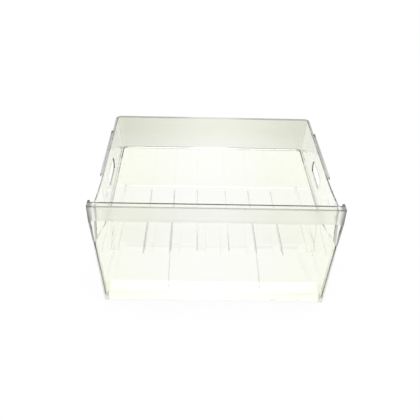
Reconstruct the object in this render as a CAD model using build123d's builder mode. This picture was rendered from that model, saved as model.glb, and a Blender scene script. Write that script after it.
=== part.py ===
import os
from math import atan2, radians, tan

from build123d import *

# Freezer drawer: one clear injection moulding, +Z up, its front towards -Y, in millimetres.
# The origin is on the ground under the middle of the moulding.

# Outside of the whole moulding
overall_depth = 414.0
overall_height = 183.0

# Tub, measured outside: upright lower walls, then a ledge and a flared upper zone
rim_width = 400.0
shoulder_width = 383.0  # above the ledge
floor_width = 374.0
shoulder_back_inset = 4.0  # how far the rear shoulder stands inside the rear edge
floor_back_inset = 8.5  # the same at the floor
wall_draft = 0.94  # degrees, of the lower walls
floor_height = 24.0  # underside of the floor, above the front panel's lower edge
shoulder_height = 115.0  # underside of the ledge, on the same scale
ledge_slope = 0.6  # rise of the ledge over its width
wall = 2.2
floor_wall = 2.4
corner_radius = 9.5
floor_fillet = 6.0
rim_bead = 1.6  # thickening outside the rim, behind the side lips
bead_height = 3.0

# Mouth: over this length the tub widens and its floor drops to meet the panel
mouth_length = 112.0
mouth_rim_width = 408.0
mouth_shoulder_width = 409.0
mouth_floor_width = 376.5
mouth_lift = 1.5  # underside of the floor where it meets the panel
mouth_fillet = 12.0
mouth_side_ease = 2  # power by which the sides leave the tub without a bend
mouth_floor_ease = 4  # the same for the floor, which drops later
mouth_steps = 5  # sections that shape the mouth

# Front panel: a tapered plate, wider than the tub
panel_wall = 2.4
panel_bottom_width = 379.0
panel_shoulder_width = 411.0
panel_grip_width = 423.5
panel_top_width = 428.0
panel_corner = 3.5

# Grip: the panel curves back under a rail, a top flange with a face that hangs down in front
rail_height = 28.0
rail_face_wall = 2.2
rail_top_wall = 2.4
rail_depth = 15.0  # from the rail's face to the back of the panel behind it
rail_end_wall = 4.0
rail_edge_radius = 1.0
cove_foot = 114.0  # height at which the panel starts to curve back
cove_height = 22.0
cove_bend = 14.0
cheek_reach = 7.0  # the end cheeks' tips, behind the panel
cheek_height = 46.0

# Side lips: a turned-down strip along the middle of each side rim
lip_length = 206.0
lip_width = 4.6
lip_setback = 228.0  # from the front to the middle of the lips
lip_drop = 5.0
lip_wall = 1.8

# Hand holes, one in each flared side wall under its lip
grip_setback = 211.0  # from the front to the middle of the hand holes
hand_hole_length = 96.0
hand_hole_height = 20.0
hand_hole_below_rim = 35.0  # down to the middle of the hole

# Floor flutes: sawtooth strips with a steep outer side, hollow underneath
flutes_per_side = 4
flute_first = 14.0  # from the middle of the floor to the first flute's gentle edge
flute_pitch = 49.0
flute_width = 18.0
flute_wall = 2.0
flute_rise = 2.6
flute_draft = 20.0  # degrees
flute_ramp = 9.0  # run-out at both ends
flute_gap = 2.0  # from the mouth to the near ends
flute_back = 20.0  # from the rear edge to the far ends

# Two ribs that run on from a flute's steep side down into the mouth
ribbed_flute = 2  # counted from the middle
rib_length = 92.0
rib_width = 1.6
rib_height = 2.2
rib_steps = 4  # stretches that shape the ribs

# Places that follow from the sizes above
front_y = -overall_depth / 2
back_y = overall_depth / 2
rim_z = overall_height
floor_top_z = floor_height + floor_wall
rail_bottom_z = rim_z - rail_height
cove_top_z = cove_foot + cove_height
recess = rail_depth - panel_wall
recess_y = front_y + recess
rail_back_y = front_y + rail_depth
grip_y = front_y + grip_setback
tub_front_y = front_y + panel_wall / 2
mouth_y = tub_front_y + mouth_length
half_width = panel_top_width / 2
wall_lean = (shoulder_height - floor_height) * tan(radians(wall_draft))
ledge_width = (shoulder_width - floor_width) / 2 - wall_lean
cove_half = mouth_rim_width / 2 - wall
lip_y = front_y + lip_setback
bead_front_y = lip_y + lip_length / 2
flute_near_y = mouth_y + flute_gap
flute_far_y = back_y - flute_back
rib_x = flute_first + (ribbed_flute - 1) * flute_pitch + flute_width - rib_width / 2
cove_lean = atan2(recess, cove_height)


def tub_level(width, back, height, inset):
    """One level of the tub, inset from the outside, running forward past the mouth's start."""
    depth = back_y - back - inset - mouth_y + 2 * corner_radius
    with BuildSketch(Plane.XY.offset(height)) as level:
        with Locations((0, back_y - back - inset - depth / 2)):
            RectangleRounded(width - 2 * inset, depth, corner_radius - inset)
    return level.sketch


def mouth_floor(share):
    """Underside of the mouth's floor at a share of its length."""
    return floor_height - (floor_height - mouth_lift) * share**mouth_floor_ease


def mouth_section(share, inset, thickness):
    """The mouth cut across, at a share of its length, with its floor's edges rounded."""
    spread = share**mouth_side_ease
    ledge_z = shoulder_height + inset
    rim = (rim_width + (mouth_rim_width - rim_width) * spread) / 2 - inset
    shoulder = (shoulder_width + (mouth_shoulder_width - shoulder_width) * spread) / 2 - inset
    floor = (floor_width + (mouth_floor_width - floor_width) * spread) / 2 - inset
    right = [
        (floor, mouth_floor(share) + thickness),
        (shoulder - ledge_width * (1 - share) ** mouth_side_ease, ledge_z),
        (shoulder, ledge_z + ledge_slope),
        (rim, rim_z),
    ]
    left = [(-x, z) for x, z in reversed(right)]
    with BuildSketch(Plane.XZ.offset(mouth_length * share - mouth_y)) as section:
        with BuildLine():
            Polyline(*right, *left, close=True)
        make_face()
        radius = floor_fillet + (mouth_fillet - floor_fillet) * share + wall - inset
        fillet(section.vertices().group_by(Axis.Y)[0], radius)
    return section.sketch


def tub(inset, bottom, radius):
    """The tub and its mouth as one solid: the outside, or the inside if inset by the wall."""
    ledge_z = shoulder_height + inset
    with BuildPart() as body:
        floor = tub_level(floor_width, floor_back_inset, bottom, inset)
        extrude(floor, amount=ledge_z - bottom, taper=-wall_draft)
        fillet(body.faces().sort_by(Axis.Z)[0].edges(), radius)
        shoulder = tub_level(shoulder_width, shoulder_back_inset, ledge_z + ledge_slope, inset)
        rim = tub_level(rim_width, rim_bead, rim_z, inset)
        loft([body.faces().sort_by(Axis.Z)[-1], shoulder, rim], ruled=True)
        split(bisect_by=Plane.XZ.offset(-mouth_y), keep=Keep.BOTTOM)
        shares = [k / mouth_steps for k in range(1, mouth_steps + 1)]
        mouth = [mouth_section(share, inset, bottom - floor_height) for share in shares]
        loft([body.faces().sort_by(Axis.Y)[0], *mouth])
    return body.part


def panel_outline(trim):
    """The panel seen from the front, trimmed on both sides."""
    with BuildSketch(Plane.XZ) as outline:
        with BuildLine():
            half = Polyline(
                (0, 0),
                (panel_bottom_width / 2 - trim, 0),
                (panel_shoulder_width / 2 - trim, shoulder_height + wall),
                (panel_grip_width / 2 - trim, rail_bottom_z),
                (panel_top_width / 2 - trim, rim_z),
                (0, rim_z),
            )
            mirror(half, about=Plane.YZ)
        make_face()
        feet = outline.vertices().group_by(Axis.Y)[0].sort_by(Axis.X)
        fillet([feet[0], feet[-1]], panel_corner)
    return outline.sketch


def behind_grip(shift):
    """Side profile of all that lies behind the panel's front surface, moved back by a distance."""
    drop = shift * tan(cove_lean / 2)
    with BuildSketch(Plane.YZ) as profile:
        with BuildLine():
            surface = FilletPolyline(
                (front_y + shift, 0),
                (front_y + shift, cove_foot - drop),
                (recess_y + shift, cove_top_z - drop),
                (recess_y + shift, rim_z),
                radius=cove_bend,
            )
            Polyline(surface @ 1, (0, rim_z), (0, 0), surface @ 0)
        make_face()
    return profile.sketch


def flutes(trim, base):
    """All the floor's flutes, standing on one level, trimmed on their steep sides."""
    scale = (flute_width - trim) / flute_width
    rise = flute_rise * scale
    lean = rise * tan(radians(flute_draft))
    with BuildPart() as strips:
        with BuildSketch(Plane.XZ.offset(-flute_near_y)):
            for k in range(flutes_per_side):
                gentle = flute_first + k * flute_pitch
                steep = gentle + flute_width - trim
                with BuildLine():
                    Polyline((gentle, base), (steep, base), (steep - lean, base + rise), close=True)
                make_face()
        extrude(amount=flute_near_y - flute_far_y)
        mirror(about=Plane.YZ)
        with BuildSketch(Plane.YZ):
            with BuildLine():
                Polyline(
                    (flute_near_y + trim, base),
                    (flute_near_y + trim + flute_ramp, base + rise),
                    (flute_far_y - trim - flute_ramp, base + rise),
                    (flute_far_y - trim, base),
                    close=True,
                )
            make_face()
        extrude(amount=floor_width / 2, both=True, mode=Mode.INTERSECT)
    return strips.part


# Course of the ribs along the top of the mouth's floor
rib_shares = [k / rib_steps * rib_length / mouth_length for k in range(rib_steps + 1)]
rib_course = [(mouth_y - mouth_length * share, mouth_floor(share) + floor_wall) for share in rib_shares]

# Tub as a solid block, its inside, the flutes on the floor and the hollows under them
outside = tub(0, floor_height, floor_fillet + wall)
inside = tub(wall, floor_top_z, floor_fillet)
raised_flutes = flutes(0, floor_top_z)
flute_hollows = flutes(flute_wall, floor_height)

# Front panel with its grip still filled in
with BuildPart() as panel:
    extrude(panel_outline(0), amount=-front_y)
    extrude(behind_grip(panel_wall), amount=half_width, both=True, mode=Mode.SUBTRACT)

# Finger room under the rail, between solid end cheeks
with BuildPart() as cove:
    with BuildSketch(Plane.XZ):
        Rectangle(2 * cove_half, rail_bottom_z, align=(Align.CENTER, Align.MIN))
    extrude(amount=-front_y)
    extrude(behind_grip(0), amount=half_width, both=True, mode=Mode.SUBTRACT)

# Room for fingers behind the rail's face, open downwards
with BuildPart() as pocket:
    with BuildSketch(Plane.YZ):
        with Locations((front_y + rail_face_wall, rail_bottom_z)):
            Rectangle(recess - rail_face_wall, rail_height - rail_top_wall, align=(Align.MIN, Align.MIN))
    extrude(amount=cove_half, both=True)

# Tips of the end cheeks, behind the panel
with BuildPart() as cheek_tips:
    with BuildSketch(Plane.YZ):
        with BuildLine():
            top = Line((rail_back_y, rim_z), (rail_back_y + cheek_reach, rim_z))
            edge = TangentArc((rail_back_y, rim_z - cheek_height), top @ 1, tangent=(0, 1))
            Line(edge @ 0, top @ 0)
        make_face()
    extrude(amount=half_width, both=True)
    extrude(panel_outline(0), amount=overall_depth, both=True, mode=Mode.INTERSECT)
    extrude(panel_outline(rail_end_wall), amount=overall_depth, both=True, mode=Mode.SUBTRACT)

# Thickened rim round the back, between the rear ends of the lips
with BuildPart() as bead:
    with BuildSketch(Plane.XY.offset(rim_z - bead_height)):
        add(tub_level(rim_width, rim_bead, 0, -rim_bead))
        add(tub_level(rim_width, rim_bead, 0, wall), mode=Mode.SUBTRACT)
    extrude(amount=bead_height)
    split(bisect_by=Plane.XZ.offset(-bead_front_y), keep=Keep.BOTTOM)

# Turned-down lip on the right-hand rim
with BuildPart() as lip:
    with BuildSketch(Plane.XZ.offset(-lip_y)):
        with Locations((rim_width / 2 + lip_width, rim_z)):
            Rectangle(lip_width + wall / 2, lip_drop, align=(Align.MAX, Align.MAX))
    extrude(amount=lip_length / 2, both=True)
    fillet(lip.edges().filter_by(Axis.Z).group_by(Axis.X)[-1], lip_width / 2)
    offset(amount=-lip_wall, openings=[lip.faces().sort_by(Axis.Z)[0], lip.faces().sort_by(Axis.X)[0]])

with BuildPart() as drawer:
    # Tub, open at the front
    add(outside)
    add(inside, mode=Mode.SUBTRACT)
    # Front
    add(panel.part)
    add(cheek_tips.part)
    add(cove.part, mode=Mode.SUBTRACT)
    add(pocket.part, mode=Mode.SUBTRACT)
    rail_edges = drawer.edges().filter_by(Axis.X).group_by(Axis.Y)[0].sort_by(Axis.Z)
    fillet(rail_edges[-2:], rail_edge_radius)
    # Rim and sides
    add(bead.part)
    add(lip.part)
    mirror(lip.part, about=Plane.YZ)
    with BuildSketch(Plane.YZ):
        with Locations((grip_y, rim_z - hand_hole_below_rim)):
            SlotOverall(hand_hole_length, hand_hole_height)
    extrude(amount=max(rim_width, shoulder_width), both=True, mode=Mode.SUBTRACT)
    # Floor
    add(raised_flutes)
    add(flute_hollows, mode=Mode.SUBTRACT)
    for side in (-1, 1):
        with BuildSketch(Plane.YZ.offset(side * rib_x)):
            with BuildLine():
                foot = Spline(*[(y, z - floor_wall / 2) for y, z in rib_course])
                start = Line(foot @ 0, (flute_near_y + flute_ramp, floor_top_z))
                crest = Spline(*[(y, z + rib_height) for y, z in rib_course])
                Line(crest @ 1, foot @ 1)
                Polyline(start @ 1, (flute_near_y + flute_ramp, floor_top_z + rib_height), crest @ 0)
            make_face()
        extrude(amount=rib_width / 2, both=True)

drawer.part.label = "drawer"

os.makedirs("parts", exist_ok=True)
export_step(drawer.part, "parts/drawer.step")
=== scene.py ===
import math
from types import SimpleNamespace

import bpy
from mathutils import Matrix, Vector


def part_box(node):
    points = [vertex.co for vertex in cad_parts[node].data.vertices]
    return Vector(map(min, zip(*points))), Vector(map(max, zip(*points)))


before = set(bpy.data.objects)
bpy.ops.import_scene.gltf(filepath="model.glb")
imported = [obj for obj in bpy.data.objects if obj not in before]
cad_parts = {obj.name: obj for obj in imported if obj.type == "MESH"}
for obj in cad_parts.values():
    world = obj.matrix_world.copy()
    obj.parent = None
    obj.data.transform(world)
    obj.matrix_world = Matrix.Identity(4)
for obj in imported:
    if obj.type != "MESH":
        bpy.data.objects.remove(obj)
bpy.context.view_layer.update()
scene = bpy.context.scene
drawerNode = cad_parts["drawer"]
drawerLow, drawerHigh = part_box("drawer")
print("frame: drawer", [round(v, 3) for v in drawerHigh - drawerLow], "m")


# A shader socket that takes part in Python expressions
class Value:
    def __init__(self, tree, socket):
        self.tree = tree
        self.socket = socket

    def maths(self, operation, *terms):
        return self.tree.node("ShaderNodeMath", {"operation": operation}, *terms)

    def __add__(self, other):
        return self.maths("ADD", self, other)

    __radd__ = __add__

    def __sub__(self, other):
        return self.maths("SUBTRACT", self, other)

    def __rsub__(self, other):
        return self.maths("SUBTRACT", other, self)

    def __mul__(self, other):
        return self.maths("MULTIPLY", self, other)

    __rmul__ = __mul__

    def __abs__(self):
        return self.maths("ABSOLUTE", self)

    def root(self):
        return self.maths("SQRT", self)

    def sign(self):
        return self.maths("SIGN", self)

    def modulo(self, other):
        return self.maths("FLOORED_MODULO", self, other)

    def atLeast(self, other):
        return self.maths("MAXIMUM", self, other)

    def lifted(self, low):  # a mask that runs from low to 1 instead of from 0
        return low + (1 - low) * self


class ShaderTree:
    def __init__(self, owner):
        owner.use_nodes = True
        self.tree = owner.node_tree
        self.tree.nodes.clear()

    # one node: its settings first, then its sockets by place or by name
    def node(self, kind, settings=None, *places, **sockets):
        made = self.tree.nodes.new(kind)
        for name, value in (settings or {}).items():
            setattr(made, name, value)
        for key, value in list(enumerate(places)) + list(sockets.items()):
            socket = made.inputs[key if isinstance(key, int) else key.replace("_", " ")]
            if isinstance(value, Value):
                self.tree.links.new(value.socket, socket)
            else:
                socket.default_value = value
        return Value(self, made.outputs[0]) if made.outputs else made

    def also(self, value, name):  # another output of the node that a value comes from
        return Value(self, value.socket.node.outputs[name])

    def fade(self, value, span, first, last):
        smooth = {"interpolation_type": "SMOOTHSTEP"}
        return self.node("ShaderNodeMapRange", smooth, value, *span, first, last)

    def rise(self, value, span):  # 0 before the span, 1 past it
        return self.fade(value, span, 0.0, 1.0)

    def fall(self, value, span):  # 1 before the span, 0 past it
        return self.fade(value, span, 1.0, 0.0)


# Camera, fitted to the photograph's edges
cameraLook = {
    "place": (-0.0399, -1.3447, 0.7736),
    "pitch": 0.4812,  # radians, down from level
    "yaw": 0.0252,
    "roll": 0.0276,
    "focalPixels": 783.7,
    "imagePixels": 420,
    "sensor": 36.0,
}


def makeCamera(look):
    pitch, yaw, roll = look["pitch"], look["yaw"], look["roll"]
    ahead = Vector((math.sin(yaw) * math.cos(pitch), math.cos(yaw) * math.cos(pitch), -math.sin(pitch)))
    level = Vector((math.cos(yaw), -math.sin(yaw), 0.0))
    above = level.cross(ahead)
    right = level * math.cos(roll) + above * math.sin(roll)
    up = above * math.cos(roll) - level * math.sin(roll)
    data = bpy.data.cameras.new("studioCamera")
    data.sensor_width = look["sensor"]
    data.lens = look["focalPixels"] / look["imagePixels"] * look["sensor"]
    camera = bpy.data.objects.new("studioCamera", data)
    turn = Matrix((right, up, -ahead)).transposed().to_4x4()
    camera.matrix_world = Matrix.Translation(look["place"]) @ turn
    scene.collection.objects.link(camera)
    scene.camera = camera
    print("camera: lens", round(data.lens, 2), "mm")


makeCamera(cameraLook)


# Where the moulding's zones lie, in metres: out from the middle, behind the panel's front and above
# its lower edge. Here and below, a pair is the span of a fade
zoneLook = {
    # clearMiddle and aside: the palest place and the span over which painted shade deepens towards the
    # sides
    "clearMiddle": -0.006,  # the palest place, a little left of the middle
    "aside": (0.0, 0.206),
    "panelDepth": (0.016, 0.0175),
    # corners of the panel's outline: height, half width
    "panelEdge": ((0.0, 0.1895), (0.1172, 0.2055), (0.155, 0.21175), (drawerHigh.z, drawerHigh.x)),
    "wingFoot": (0.112, 0.118),
    "railFoot": (0.154, 0.155),
    "faceDepth": (0.0012, 0.0018),
    "browDepth": (0.0014, 0.002),
    "coveEndIn": (0.2, 0.2005),
    "coveEndOut": (0.2025, 0.2035),
    "backWall": (0.397, 0.399),
    "ledgeFoot": (0.1137, 0.1142),
    "ledgeTop": (0.1172, 0.1182),
    "upperFoot": (0.1172, 0.1202),
    "upperFront": (0.077, 0.207),
    "rimFoot": (0.1803, 0.1809),
}


def mouldingZones(tree, look):
    place = tree.also(tree.node("ShaderNodeTexCoord"), "Object")
    side = tree.node("ShaderNodeSeparateXYZ", None, place)
    across = abs(side)
    depth = tree.also(side, "Y") - drawerLow.y
    height = tree.also(side, "Z") - drawerLow.z
    corners = look["panelEdge"]
    half = corners[0][1]  # grows from corner to corner
    for (low, narrow), (high, wide) in zip(corners, corners[1:]):
        half = half + tree.node("ShaderNodeMapRange", None, height, low, high, 0.0, wide - narrow)
    panel = tree.fall(depth, look["panelDepth"])
    wing = panel * tree.rise(height, look["wingFoot"])
    rail = tree.rise(height, look["railFoot"])
    rim = tree.rise(height, look["rimFoot"])
    coveEnd = tree.rise(across, look["coveEndIn"]) * tree.fall(across, look["coveEndOut"])
    return SimpleNamespace(
        place=place,
        side=side,
        across=across,
        depth=depth,
        height=height,
        edge=half - across,  # distance in from the panel's outline
        # aside: 0 at the palest place, 1 at the sides; it places the painted side shade
        aside=tree.rise(abs(side - look["clearMiddle"]), look["aside"]),
        panel=panel,
        wing=wing,
        rail=rail,
        face=rail * tree.fall(depth, look["faceDepth"]),
        brow=rim * tree.fall(depth, look["browDepth"]),
        coveEnd=wing * (1 - rail) * coveEnd,
        backWall=tree.rise(depth, look["backWall"]),
        ledge=tree.rise(height, look["ledgeFoot"]) * tree.fall(height, look["ledgeTop"]),
        upper=tree.rise(height, look["upperFoot"]) * tree.rise(depth, look["upperFront"]),
        rim=rim,
    )


# Painted shade: dark lines painted into the colour along the rail, where its edges gather light, and
# painted shade towards the sides of its face. A shade is the share of light that a painted line takes
railLook = {
    "backShade": 0.5,
    "backDepth": (0.0119, 0.0125),
    "browShade": 0.45,
    "browMiddle": 0.6,  # share of the shade in the middle
    "footShade": 0.1,
    "footTop": (0.159, 0.161),
    "sideShade": 0.08,
}


def railLines(tree, zone, look):
    back = look["backShade"] * zone.rim * zone.panel * tree.rise(zone.depth, look["backDepth"])
    brow = look["browShade"] * zone.brow * zone.aside.lifted(look["browMiddle"])
    foot = look["footShade"] * zone.face * tree.fall(zone.height, look["footTop"])
    sides = look["sideShade"] * zone.face * zone.aside
    return [back, brow, foot, sides]


# Painted shade: dark lines painted along the ledge and round the tub above it, and painted shade on the
# upper back wall, deeper towards its sides
tubLook = {
    "wallShade": 0.16,
    "wallMiddle": 0.015,
    "wallSpread": (0.0, 0.21),
    "backLedgeShade": 0.5,
    "backLedgeSpread": (0.01, 0.06),
    "sideLedgeShade": 0.45,
    "sideLedgeOut": (0.184, 0.186),
    "sideLedgeFront": (0.047, 0.107),
    "sideLedgeFade": (0.127, 0.357),
    "sideLedgeRear": 0.3,  # share of the shade left at the rear
    "rimShade": 0.45,
    "rimSpread": (0.02, 0.09),
    "rimMiddle": 0.3,
    "lipOut": (0.2005, 0.2009),
    "lipFront": (0.122, 0.124),
    "lipShade": 0.35,
    "lipSpread": (0.124, 0.332),
    "lipEndShade": 0.7,
    "lipEnd": (0.307, 0.327),
}


def tubLines(tree, zone, look):
    wallSpread = tree.rise(abs(zone.side - look["wallMiddle"]), look["wallSpread"])
    wall = look["wallShade"] * zone.upper * zone.backWall * wallSpread
    backSpread = tree.rise(zone.across, look["backLedgeSpread"])
    backLedge = look["backLedgeShade"] * zone.ledge * zone.backWall * backSpread
    sideLedge = look["sideLedgeShade"] * zone.ledge * (1 - zone.backWall)
    sideLedge = sideLedge * tree.rise(zone.across, look["sideLedgeOut"])
    sideLedge = sideLedge * tree.rise(zone.depth, look["sideLedgeFront"])
    sideLedge = sideLedge * tree.fall(zone.depth, look["sideLedgeFade"]).lifted(look["sideLedgeRear"])
    rimSpread = tree.rise(zone.across, look["rimSpread"]).lifted(look["rimMiddle"])
    rim = look["rimShade"] * zone.rim * (1 - zone.panel) * rimSpread
    lip = tree.rise(zone.across, look["lipOut"]) * tree.rise(zone.depth, look["lipFront"])
    lipSide = look["lipShade"] * lip * tree.rise(zone.depth, look["lipSpread"])
    lipEnd = look["lipEndShade"] * lip * tree.rise(zone.depth, look["lipEnd"])
    return [wall, backLedge, sideLedge, rim, lipSide, lipEnd]


# Painted shade: a dark ring painted round each hand hole
holeLook = {
    "shade": 0.4,
    "middle": (0.211, 0.148),  # behind the front, above the lower edge
    "straightHalf": 0.038,
    "radius": 0.01,
    "ring": (0.0008, 0.002),
    "out": (0.18, 0.185),
}


def holeLines(tree, zone, look):
    middleDepth, middleHeight = look["middle"]
    past = (abs(zone.depth - middleDepth) - look["straightHalf"]).atLeast(0.0)
    over = zone.height - middleHeight
    ring = (past * past + over * over).root() - look["radius"]
    return [look["shade"] * tree.fall(ring, look["ring"]) * tree.rise(zone.across, look["out"])]


# Painted shade: dark lines painted along the floor's two ribs and along the steep and the gentle sides of
# its flutes
floorLook = {
    "ribShade": 0.24,
    "ribMiddle": 0.0802,
    "ribHalf": (0.00072, 0.00108),
    "ribFront": (0.02, 0.03),
    "ribRear": (0.1125, 0.1135),
    "ribTop": (0.034, 0.036),
    "firstSteepSide": 0.032,
    "flutePitch": 0.049,
    "fluteWidth": 0.018,
    "fluteFront": (0.116, 0.12),
    "fluteTop": (0.033, 0.035),
    "steepShade": 0.45,
    "steepHalf": (0.0008, 0.0015),
    "steepFade": (0.177, 0.307),
    "steepIn": (0.0555, 0.0565),  # only the second and third flutes show theirs
    "steepOut": (0.1545, 0.1555),
    "gentleShade": 0.06,
    "gentleHalf": (0.0005, 0.0012),
    "gentleFade": (0.177, 0.247),
    "gentleOut": (0.12, 0.121),
}


def floorLines(tree, zone, look):
    pitch = look["flutePitch"]

    def toNearest(first):  # distance to the nearest of a row of lines
        return abs((zone.across - (first - pitch / 2)).modulo(pitch) - pitch / 2)

    rib = look["ribShade"] * tree.fall(abs(zone.across - look["ribMiddle"]), look["ribHalf"])
    rib = rib * tree.rise(zone.depth, look["ribFront"]) * tree.fall(zone.depth, look["ribRear"])
    rib = rib * tree.fall(zone.height, look["ribTop"])
    flutes = tree.rise(zone.depth, look["fluteFront"]) * tree.fall(zone.height, look["fluteTop"])
    steep = look["steepShade"] * flutes * tree.fall(toNearest(look["firstSteepSide"]), look["steepHalf"])
    steep = steep * tree.fall(zone.depth, look["steepFade"])
    steep = steep * tree.rise(zone.across, look["steepIn"]) * tree.fall(zone.across, look["steepOut"])
    firstGentleSide = look["firstSteepSide"] - look["fluteWidth"]
    gentle = look["gentleShade"] * flutes * tree.fall(toNearest(firstGentleSide), look["gentleHalf"])
    gentle = gentle * tree.fall(zone.depth, look["gentleFade"]) * tree.fall(zone.across, look["gentleOut"])
    return [rib, steep, gentle]


# Colour: the plastic's pale tint in the middle, with painted shade that deepens it towards the sides and
# on the back wall, a darker, yellower band low on the panel, and the painted dark lines multiplied in
tintAndShadeLook = {
    "middle": (0.998, 1.0, 0.98),
    "sides": (0.983, 0.992, 0.935),
    "back": (0.863, 0.878, 0.79),
    "backRise": (0.12, 0.16),
    "backLow": 0.65,  # share of this tint at the ledge
    "lowBack": (0.965, 0.978, 0.91),
    "lowBackMiddle": 0.3,
    "skirt": (0.91, 0.93, 0.8),
    "skirtDepth": (0.0002, 0.0008),
    "skirtFoot": (0.006, 0.022),
    "skirtTop": (0.036, 0.039),
    "skirtMiddle": 0.2,
}


def tintWithPaintedShade(tree, zone, lines, look):
    # share of light left by the painted dark lines
    clear = 1
    for line in lines:
        clear = clear * (1 - line)
    # painted shade on the upper back wall, lighter at the ledge, and on the lower back wall, deeper at the
    # sides; a darker, yellower band low on the panel's front
    back = zone.backWall * zone.upper * tree.rise(zone.height, look["backRise"]).lifted(look["backLow"])
    lowBack = zone.backWall * (1 - zone.upper) * zone.aside.lifted(look["lowBackMiddle"])
    skirt = tree.fall(zone.depth, look["skirtDepth"]) * zone.aside.lifted(look["skirtMiddle"])
    skirt = skirt * tree.rise(zone.height, look["skirtFoot"]) * tree.fall(zone.height, look["skirtTop"])
    tint = []
    for channel, middle in enumerate(look["middle"]):
        tone = clear * (middle + (look["sides"][channel] - middle) * zone.aside)
        for name, mask in (("back", back), ("lowBack", lowBack), ("skirt", skirt)):
            tone = tone * (1 - (1 - look[name][channel]) * mask)
        tint.append(tone)
    return tree.node("ShaderNodeCombineColor", None, *tint)


# Roughness: glossy with a faint unevenness, satin on the rail's face and weaker above the ledge
glossLook = {
    "gloss": 0.02,
    "grainScale": 60.0,
    "grainLow": 0.6,
    "grainSpan": 0.8,
    "faceSatin": 0.3,
    "upperSatin": 0.12,
    "upperSides": 0.5,  # share of the upper satin on the side walls
}


def plasticRoughness(tree, zone, look):
    gloss = look["gloss"]
    grain = tree.node("ShaderNodeTexNoise", None, Vector=zone.place, Scale=look["grainScale"])
    rough = gloss * (look["grainLow"] + look["grainSpan"] * grain)
    rough = rough + (look["faceSatin"] - gloss) * zone.face
    return rough + (look["upperSatin"] - gloss) * zone.upper * zone.backWall.lifted(look["upperSides"])


# Shading normals, levelled where the flutes are so shallow that they show no line
levelLook = {
    "floorTop": (0.0325, 0.0335),
    "runOutMiddles": (0.1205, 0.3895),
    "runOutHalf": (0.0065, 0.0075),
    "rearFillet": (0.394, 0.395),
    "outerIn": (0.159, 0.16),
    "outerOut": (0.18, 0.181),
    "outerFront": (0.187, 0.237),
    "middleShare": 0.5,
    "middleOut": (0.036, 0.037),
    "middleFront": (0.157, 0.237),
}


def plasticNormal(tree, zone, look):
    outer = tree.rise(zone.across, look["outerIn"]) * tree.fall(zone.across, look["outerOut"])
    outer = outer * tree.rise(zone.depth, look["outerFront"])
    middle = look["middleShare"] * tree.fall(zone.across, look["middleOut"])
    middle = middle * tree.rise(zone.depth, look["middleFront"])
    flat = outer.atLeast(middle) * tree.fall(zone.depth, look["rearFillet"])
    for runOut in look["runOutMiddles"]:
        flat = flat.atLeast(tree.fall(abs(zone.depth - runOut), look["runOutHalf"]))
    flat = flat * tree.fall(zone.height, look["floorTop"])
    normal = tree.also(tree.node("ShaderNodeNewGeometry"), "Normal")
    upright = tree.also(tree.node("ShaderNodeSeparateXYZ", None, normal), "Z").sign()
    kept = tree.node("ShaderNodeVectorMath", {"operation": "SCALE"}, normal, Scale=1 - flat)
    level = tree.node("ShaderNodeCombineXYZ", None, 0.0, 0.0, upright * flat)
    turned = tree.node("ShaderNodeVectorMath", {"operation": "ADD"}, kept, level)
    return tree.node("ShaderNodeVectorMath", {"operation": "NORMALIZE"}, turned)


# Haze: a diffuse layer for the light that the rail's satin face and the panel's edges scatter; its colour
# carries painted shade, darker towards the panel's outline and along the rail's lines
hazeLook = {
    "color": (0.93, 0.94, 0.88),
    "roughness": 0.5,
    "face": 0.3,
    "faceMiddle": 0.1,  # share of the face's haze in the middle
    "cheek": 0.85,
    "cheekWidth": (0.0115, 0.0145),
    "outline": 0.85,
    "outlineWidth": (0.0014, 0.0026),
    "coveEnd": 0.8,
    "lowEdge": 0.7,
    "lowEdgeWidth": (0.002, 0.0035),
    "lowEdgeTop": (0.1, 0.115),
    "lowEdgeFade": (0.03, 0.1),
    "lowEdgeHigh": 0.4,  # share of the low edge's haze left at its top
    "corner": 0.8,
    "cornerWidth": (0.006, 0.008),
    "cornerTop": (0.006, 0.016),
    # painted shade in the haze's colour, from edgeShade to railBackGain
    "edgeShade": 0.72,  # how far the haze darkens towards the panel's outline
    "edgeWidth": (0.002, 0.0105),
    "edgeAtRim": 0.003,  # wider there by this much
    "edgeFoot": (0.1, 0.115),
    "edgeBelowRail": 0.75,  # share of the shade below the rail
    "railBackGain": 1.5,  # the line along the rail's back is stronger in the haze
}


def plasticHaze(tree, zone, look):
    # the rail face's haze is thinner in the middle, so that painted shade deepens towards the sides; on
    # the cheeks, outline, cove ends, low edge and corners the haze carries the painted edge shade
    face = look["face"] * zone.face * zone.aside.lifted(look["faceMiddle"])
    cheek = look["cheek"] * zone.wing * zone.rail * tree.fall(zone.edge, look["cheekWidth"])
    outline = look["outline"] * zone.wing * tree.fall(zone.edge, look["outlineWidth"])
    lowEdge = look["lowEdge"] * zone.panel * tree.fall(zone.edge, look["lowEdgeWidth"])
    lowEdge = lowEdge * tree.fall(zone.height, look["lowEdgeTop"])
    lowEdge = lowEdge * tree.fall(zone.height, look["lowEdgeFade"]).lifted(look["lowEdgeHigh"])
    corner = look["corner"] * zone.panel * tree.fall(zone.edge, look["cornerWidth"])
    corner = corner * tree.fall(zone.height, look["cornerTop"])
    haze = face
    for part in (cheek, outline, look["coveEnd"] * zone.coveEnd, lowEdge, corner):
        haze = haze.atLeast(part)
    return haze


def hazeColorWithPaintedShade(tree, zone, railBack, railBrow, look):
    # painted shade: darker towards the panel's outline, except at the cove ends, and along the rail's brow
    # and back lines
    edge = look["edgeShade"] * tree.fall(zone.edge - look["edgeAtRim"] * zone.rim, look["edgeWidth"])
    edge = edge * (1 - zone.coveEnd) * tree.rise(zone.height, look["edgeFoot"])
    edge = edge * zone.rail.lifted(look["edgeBelowRail"])
    bright = (1 - edge) * (1 - railBrow) * (1 - look["railBackGain"] * railBack)
    return tree.node("ShaderNodeCombineColor", None, *[channel * bright for channel in look["color"]])


# Clear plastic: glass tinted and painted with shade, under the haze, which also carries painted shade,
# with weak absorption inside
plasticLook = {
    "ior": 1.57,
    "absorbColor": (0.62, 0.64, 0.5, 1.0),
    "absorbDensity": 2.0,
}


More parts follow.
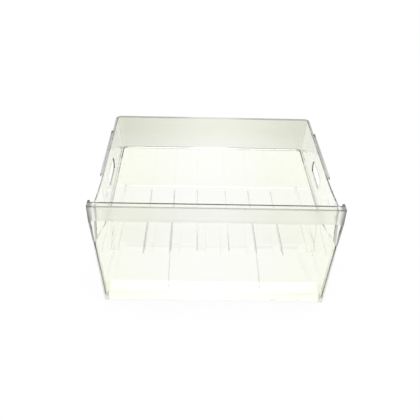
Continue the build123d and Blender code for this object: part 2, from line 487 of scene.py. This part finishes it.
def makeClearPlastic(look):
    material = bpy.data.materials.new("clearPlastic")
    tree = ShaderTree(material)
    zone = mouldingZones(tree, zoneLook)
    # the painted dark lines, multiplied into the glass's colour; the rail's back and brow lines also
    # darken the haze
    rail = railLines(tree, zone, railLook)
    railBack, railBrow = rail[:2]
    lines = rail + tubLines(tree, zone, tubLook) + holeLines(tree, zone, holeLook)
    lines = lines + floorLines(tree, zone, floorLook)
    glass = tree.node(
        "ShaderNodeBsdfPrincipled",
        None,
        Base_Color=tintWithPaintedShade(tree, zone, lines, tintAndShadeLook),
        Roughness=plasticRoughness(tree, zone, glossLook),
        IOR=look["ior"],
        Transmission_Weight=1.0,
        Normal=plasticNormal(tree, zone, levelLook),
    )
    hazeAndShade = tree.node(
        "ShaderNodeBsdfPrincipled",
        None,
        Base_Color=hazeColorWithPaintedShade(tree, zone, railBack, railBrow, hazeLook),
        Roughness=hazeLook["roughness"],
    )
    shader = tree.node("ShaderNodeMixShader", None, plasticHaze(tree, zone, hazeLook), glass, hazeAndShade)
    inside = tree.node(
        "ShaderNodeVolumeAbsorption", None, Color=look["absorbColor"], Density=look["absorbDensity"]
    )
    tree.node("ShaderNodeOutputMaterial", None, Surface=shader, Volume=inside)
    print("clear plastic:", len(lines), "dark lines")
    return material


clearPlastic = makeClearPlastic(plasticLook)

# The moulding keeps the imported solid, whose fillets carry true normals
drawerNode.data.materials.clear()
drawerNode.data.materials.append(clearPlastic)
print("moulding:", len(drawerNode.data.polygons), "faces")


# White ground, tilted to carry the drawer by the panel's lower edge and the tub's rear bottom edge
groundLook = {"size": 12.0, "color": (0.9, 0.9, 0.9, 1.0), "litShare": 0.07}


def makeGround(look):
    foot = (drawerLow.y, drawerLow.z)  # the panel's lower edge
    lean = min(  # the flattest line from there to the rear half of the tub
        math.atan2(v.co.z - foot[1], v.co.y - foot[0])
        for v in drawerNode.data.vertices
        if v.co.y > 0
    )
    half = look["size"] / 2
    corners = [(-half, -half, 0), (half, -half, 0), (half, half, 0), (-half, half, 0)]
    mesh = bpy.data.meshes.new("ground")
    mesh.from_pydata(corners, [], [(0, 1, 2, 3)])
    ground = bpy.data.objects.new("ground", mesh)
    ground.matrix_world = Matrix.Translation((0, *foot)) @ Matrix.Rotation(lean, 4, "X")
    material = bpy.data.materials.new("whiteGround")
    tree = ShaderTree(material)
    ray = tree.node("ShaderNodeLightPath")
    seen = ray.atLeast(tree.also(ray, "Is Glossy Ray")).atLeast(tree.also(ray, "Is Transmission Ray"))
    lit = tree.node("ShaderNodeBsdfDiffuse", None, Color=look["color"])
    white = tree.node("ShaderNodeEmission", None, Color=(1, 1, 1, 1), Strength=1.0)
    shown = tree.node("ShaderNodeMixShader", None, 1 - look["litShare"], lit, white)
    floor = tree.node("ShaderNodeMixShader", None, seen, lit, shown)
    tree.node("ShaderNodeOutputMaterial", None, Surface=floor)
    mesh.materials.append(material)
    scene.collection.objects.link(ground)
    print("ground: leans", round(math.degrees(lean), 2), "degrees")


makeGround(groundLook)


# Studio light: an even white sky and one soft panel
studioLook = {
    "sky": (1.0, 1.0, 1.0, 1.0),
    "skyStrength": 1.0,
    "panelPower": 20.0,
    "panelSize": (2.0, 1.2),
    "panelPlace": (0.0, 0.2, 2.2),
}


def makeLight(look):
    world = bpy.data.worlds.new("studio")
    scene.world = world
    tree = ShaderTree(world)
    sky = tree.node("ShaderNodeBackground", None, Color=look["sky"], Strength=look["skyStrength"])
    tree.node("ShaderNodeOutputWorld", None, Surface=sky)
    data = bpy.data.lights.new("softPanel", "AREA")
    data.energy = look["panelPower"]
    data.shape = "RECTANGLE"
    data.size, data.size_y = look["panelSize"]
    lamp = bpy.data.objects.new("softPanel", data)
    lamp.location = look["panelPlace"]
    scene.collection.objects.link(lamp)
    print("light: one soft panel and the sky")


makeLight(studioLook)

# Enough bounces to see through every wall of the tub
bounces = {"all": 40, "glossy": 24}
scene.cycles.max_bounces = bounces["all"]
scene.cycles.transmission_bounces = bounces["all"]
scene.cycles.glossy_bounces = bounces["glossy"]
scene.view_settings.view_transform = "Standard"
